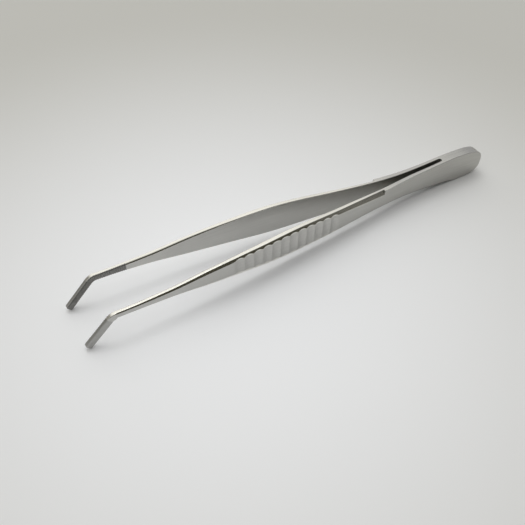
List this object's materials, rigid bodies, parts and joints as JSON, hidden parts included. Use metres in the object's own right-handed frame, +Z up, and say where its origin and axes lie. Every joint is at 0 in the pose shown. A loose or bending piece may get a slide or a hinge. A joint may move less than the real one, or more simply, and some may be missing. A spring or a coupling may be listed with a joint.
{
  "type": "print tongs",
  "caption": "Sprung stainless steel darkroom print tongs with fluted grips, ground bevels and bent-down jaw tips.",
  "frame": {"origin": "centre of the bounding box on the surface that the tongs stand on", "axes": "+X from the jaws to the butt, +Y across the opening from the left arm to the right arm, +Z up"},
  "size_m": [0.1998, 0.0242, 0.0167],
  "materials": {
    "blade_steel": "satin stainless steel, finely ground along the blade",
    "weld_steel": "stainless weld metal, ground flush with the blades' edges"
  },
  "bodies": {
    "butt": {"left_blade_butt": "blade_steel", "right_blade_butt": "blade_steel", "butt_weld": "weld_steel"},
    "left_arm": {"left_arm": "blade_steel"},
    "right_arm": {"right_arm": "blade_steel"}
  },
  "joints": [
    {"name": "left_flex", "type": "hinge", "parent": "butt", "child": "left_arm", "pos_m": [0.04789, -0.00294, 0.00812], "axis": [-0.0302, 0, -0.9995], "range_deg": [0, 3.82], "stiffness_Nm_per_rad": 5},
    {"name": "right_flex", "type": "hinge", "parent": "butt", "child": "right_arm", "pos_m": [0.04789, 0.00294, 0.00812], "axis": [0.0302, 0, 0.9995], "range_deg": [0, 3.82], "stiffness_Nm_per_rad": 5}
  ],
  "couplings": [
    {"joint": "right_flex", "follows": "left_flex", "ratio": 1}
  ]
}
